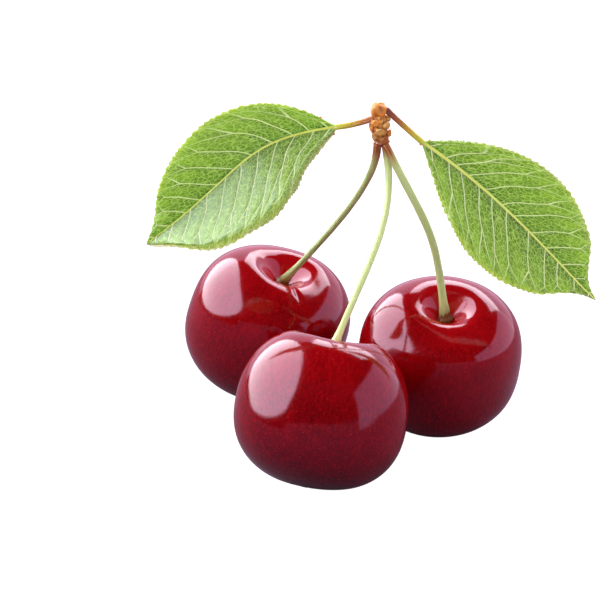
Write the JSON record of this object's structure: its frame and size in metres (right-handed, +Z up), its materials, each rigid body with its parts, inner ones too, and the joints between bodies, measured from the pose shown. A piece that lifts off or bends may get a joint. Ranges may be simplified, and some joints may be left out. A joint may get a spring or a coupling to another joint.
{
  "type": "cherries on stalks",
  "caption": "Sweet cherries on curved green stalks that meet at a short woody spur with leaves; the cluster stands on its fruits.",
  "frame": {"origin": "on the ground, under the middle of the cluster's box", "axes": "+Z up, +X to the right with the leaf tips at either end, +Y to the back"},
  "size_m": [0.0704, 0.0634, 0.0571],
  "materials": {
    "cherry_skin": "dark red skin with a waxy gloss",
    "stalk": "fresh green stalk with a satin skin",
    "leaf": "fresh leaf with a satin upper face",
    "bark": "matt young bark",
    "bud_scale": "dry papery scales"
  },
  "bodies": {
    "root": {"cherry_front": "cherry_skin", "cherry_left": "cherry_skin", "cherry_right": "cherry_skin", "stalk_front": "stalk", "stalk_left": "stalk", "stalk_right": "stalk", "leaf_left": "leaf", "leaf_right": "leaf", "spur_core": "bark", "end_bud": "bud_scale", "bud_scale_1": "bud_scale", "bud_scale_2": "bud_scale", "bud_scale_3": "bud_scale", "bud_scale_4": "bud_scale", "bud_scale_5": "bud_scale", "bud_scale_6": "bud_scale", "bud_scale_7": "bud_scale", "bud_scale_8": "bud_scale", "bud_scale_9": "bud_scale", "bud_scale_10": "bud_scale", "bud_scale_11": "bud_scale", "bud_scale_12": "bud_scale"}
  },
  "joints": []
}
